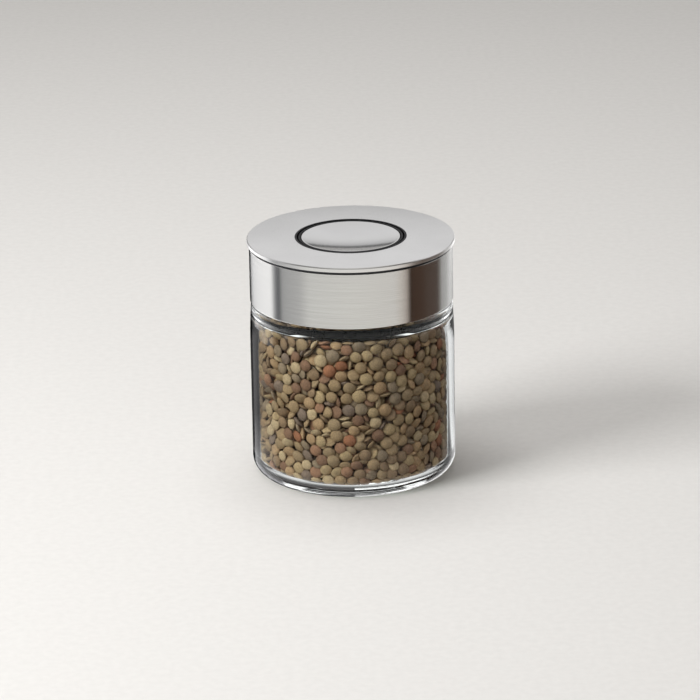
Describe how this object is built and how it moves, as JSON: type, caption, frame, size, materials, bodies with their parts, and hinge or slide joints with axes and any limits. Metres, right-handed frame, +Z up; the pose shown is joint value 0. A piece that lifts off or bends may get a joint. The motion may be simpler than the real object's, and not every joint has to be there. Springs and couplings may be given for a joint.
{
  "type": "herb keeper",
  "caption": "Round glass kitchen jar filled with lentils, under a brushed steel lid. A dished push button in a black ring pops up and slackens the seal in the mouth.",
  "frame": {"origin": "centre of the jar's base, on the surface it stands on", "axes": "+Z up along the jar's axis, -Y towards the picture's camera, +X to the right in the picture"},
  "size_m": [0.1009, 0.1008, 0.1188],
  "materials": {
    "clear_glass": "clear, polished",
    "dried_lentils": "loose dried lentils, matt",
    "brushed_sheet_steel": "finely brushed",
    "plain_steel": "zinc-bright wire and screws",
    "black_gloss_plastic": "semi-gloss",
    "dark_grey_plastic": "matt",
    "natural_plastic": "low-friction, matt",
    "black_silicone": "soft, matt"
  },
  "bodies": {
    "jar": {"glass_jar": "clear_glass", "lentils": "dried_lentils"},
    "lid": {"lid_plate": "brushed_sheet_steel", "lid_skirt": "brushed_sheet_steel", "lid_frame": "dark_grey_plastic", "bezel_ring": "black_gloss_plastic", "plug_body": "dark_grey_plastic", "bottom_cover": "dark_grey_plastic", "guard_ring": "dark_grey_plastic", "seal_ring": "black_silicone", "cover_screws": "plain_steel", "frame_screws": "plain_steel"},
    "button": {"button_dish": "brushed_sheet_steel", "button_carrier": "black_gloss_plastic", "expander_wedge": "natural_plastic", "wedge_screw": "plain_steel", "latch_cam": "natural_plastic", "button_spring": "plain_steel"},
    "follower": {"latch_follower": "plain_steel"},
    "pusher_1": {"seal_pusher_1": "natural_plastic"},
    "pusher_2": {"seal_pusher_2": "natural_plastic"},
    "pusher_3": {"seal_pusher_3": "natural_plastic"},
    "pusher_4": {"seal_pusher_4": "natural_plastic"},
    "pusher_5": {"seal_pusher_5": "natural_plastic"},
    "pusher_6": {"seal_pusher_6": "natural_plastic"}
  },
  "joints": [
    {"name": "lid_lift", "type": "slide", "parent": "jar", "child": "lid", "axis": [0, 0, 1], "range_m": [0, 0.06]},
    {"name": "button_rise", "type": "slide", "parent": "lid", "child": "button", "axis": [0, 0, 1], "range_m": [0, 0.008], "deforming": ["button_spring"]},
    {"name": "follower_swing", "type": "hinge", "parent": "lid", "child": "follower", "pos_m": [0, 0.0215, 0.1002], "axis": [0, 1, 0], "range_deg": [0, 9.5]},
    {"name": "pusher_1_slide", "type": "slide", "parent": "lid", "child": "pusher_1", "axis": [1, 0, 0], "range_m": [-0.0012, 0]},
    {"name": "pusher_2_slide", "type": "slide", "parent": "lid", "child": "pusher_2", "axis": [0.5, 0.866, 0], "range_m": [-0.0012, 0]},
    {"name": "pusher_3_slide", "type": "slide", "parent": "lid", "child": "pusher_3", "axis": [-0.5, 0.866, 0], "range_m": [-0.0012, 0]},
    {"name": "pusher_4_slide", "type": "slide", "parent": "lid", "child": "pusher_4", "axis": [-1, 0, 0], "range_m": [-0.0012, 0]},
    {"name": "pusher_5_slide", "type": "slide", "parent": "lid", "child": "pusher_5", "axis": [-0.5, -0.866, 0], "range_m": [-0.0012, 0]},
    {"name": "pusher_6_slide", "type": "slide", "parent": "lid", "child": "pusher_6", "axis": [0.5, -0.866, 0], "range_m": [-0.0012, 0]}
  ],
  "couplings": [
    {"joint": "follower_swing", "follows": "button_rise", "rad_per_m": 20},
    {"joint": "pusher_1_slide", "follows": "button_rise", "ratio": -0.15},
    {"joint": "pusher_2_slide", "follows": "button_rise", "ratio": -0.15},
    {"joint": "pusher_3_slide", "follows": "button_rise", "ratio": -0.15},
    {"joint": "pusher_4_slide", "follows": "button_rise", "ratio": -0.15},
    {"joint": "pusher_5_slide", "follows": "button_rise", "ratio": -0.15},
    {"joint": "pusher_6_slide", "follows": "button_rise", "ratio": -0.15}
  ]
}
